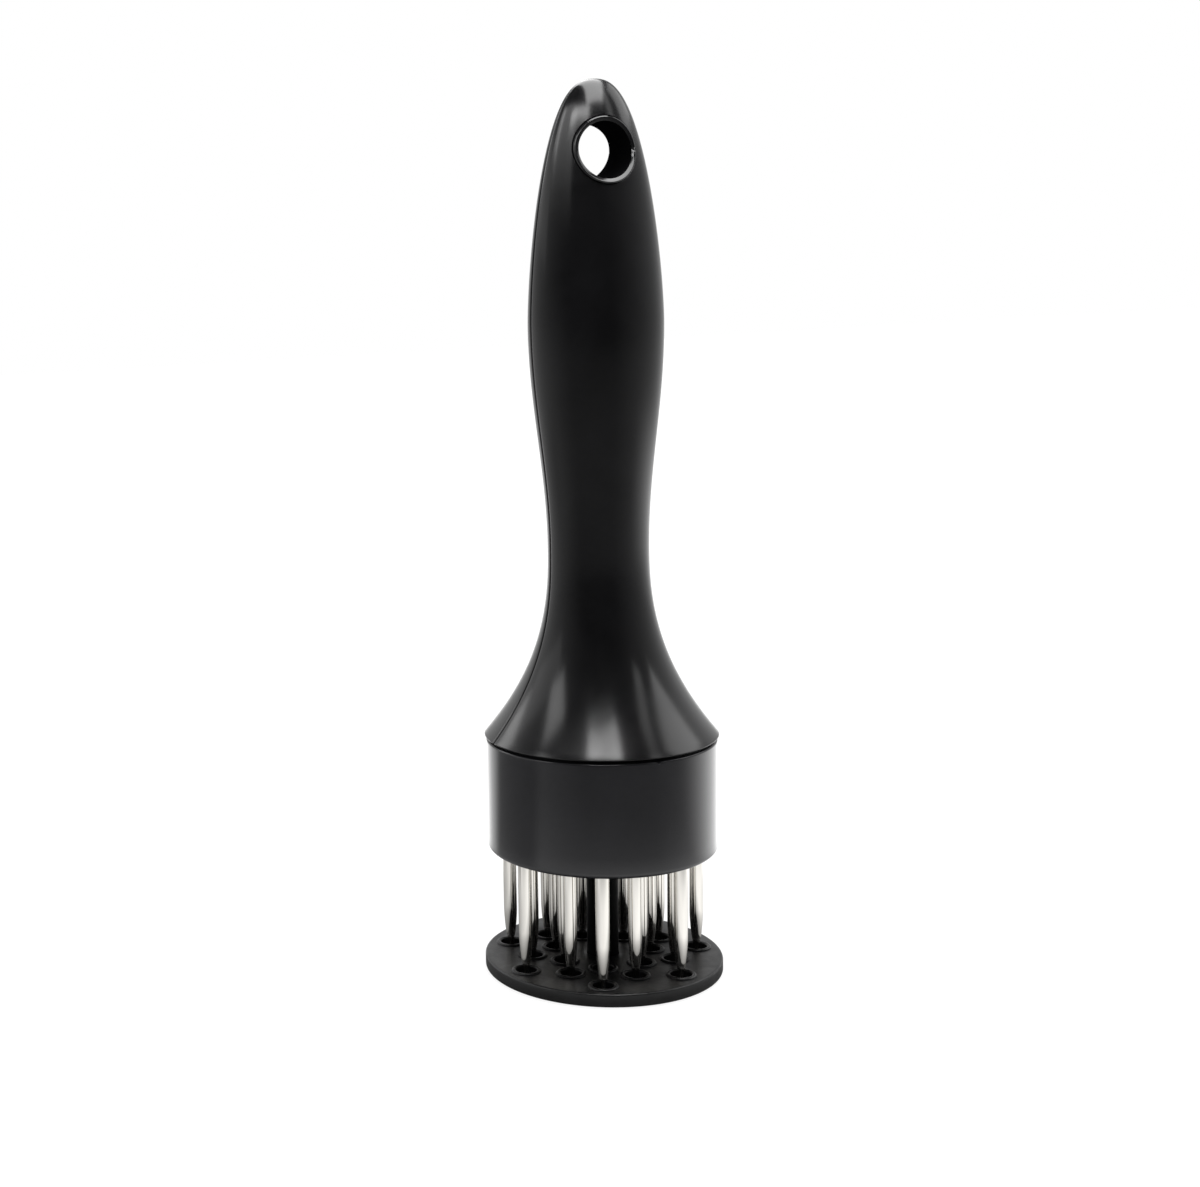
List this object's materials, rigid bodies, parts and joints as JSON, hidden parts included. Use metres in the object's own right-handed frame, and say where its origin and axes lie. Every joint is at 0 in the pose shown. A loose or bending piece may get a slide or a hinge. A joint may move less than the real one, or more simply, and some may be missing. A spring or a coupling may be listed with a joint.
{
  "type": "needle meat tenderizer",
  "caption": "Hand tool with a pin-shaped handle, a collar of fixed steel needles and a spring-loaded guard plate that slides up the needles when the tool is pressed on meat.",
  "frame": {"origin": "middle of the guard plate's underside, at rest", "axes": "+Z along the tool axis towards the top of the handle; -Y is the front, and the hanging hole runs along Y"},
  "size_m": [0.0526, 0.0526, 0.195],
  "materials": {
    "gloss_black": "glossy moulded black plastic",
    "satin_black": "satin moulded black plastic",
    "polished_steel": "mirror polished stainless steel",
    "plain_steel": "plain stainless steel",
    "spring_steel": "drawn spring wire"
  },
  "bodies": {
    "handle": {"handle_front_shell": "gloss_black", "handle_rear_shell": "gloss_black", "hang_hole_sleeve": "gloss_black", "needle_collar": "satin_black", "needle_backing_plate": "plain_steel", "handle_screws": "plain_steel", "backing_plate_screws": "plain_steel", "return_spring": "spring_steel", "needle_outer_1": "polished_steel", "needle_outer_2": "polished_steel", "needle_outer_3": "polished_steel", "needle_outer_4": "polished_steel", "needle_outer_5": "polished_steel", "needle_outer_6": "polished_steel", "needle_outer_7": "polished_steel", "needle_middle_1": "polished_steel", "needle_middle_2": "polished_steel", "needle_middle_3": "polished_steel", "needle_middle_4": "polished_steel", "needle_middle_5": "polished_steel", "needle_middle_6": "polished_steel", "needle_middle_7": "polished_steel", "needle_inner_1": "polished_steel", "needle_inner_2": "polished_steel", "needle_inner_3": "polished_steel", "needle_inner_4": "polished_steel", "needle_inner_5": "polished_steel", "needle_inner_6": "polished_steel", "needle_inner_7": "polished_steel"},
    "plunger": {"guard_plate": "satin_black", "plunger_post": "satin_black", "plate_screw": "plain_steel"}
  },
  "joints": [
    {"name": "plunger_slide", "type": "slide", "parent": "handle", "child": "plunger", "axis": [0, 0, 1], "range_m": [0, 0.0245], "stiffness_N_per_m": 485, "springref_m": -0.014, "deforming": ["return_spring"]}
  ]
}
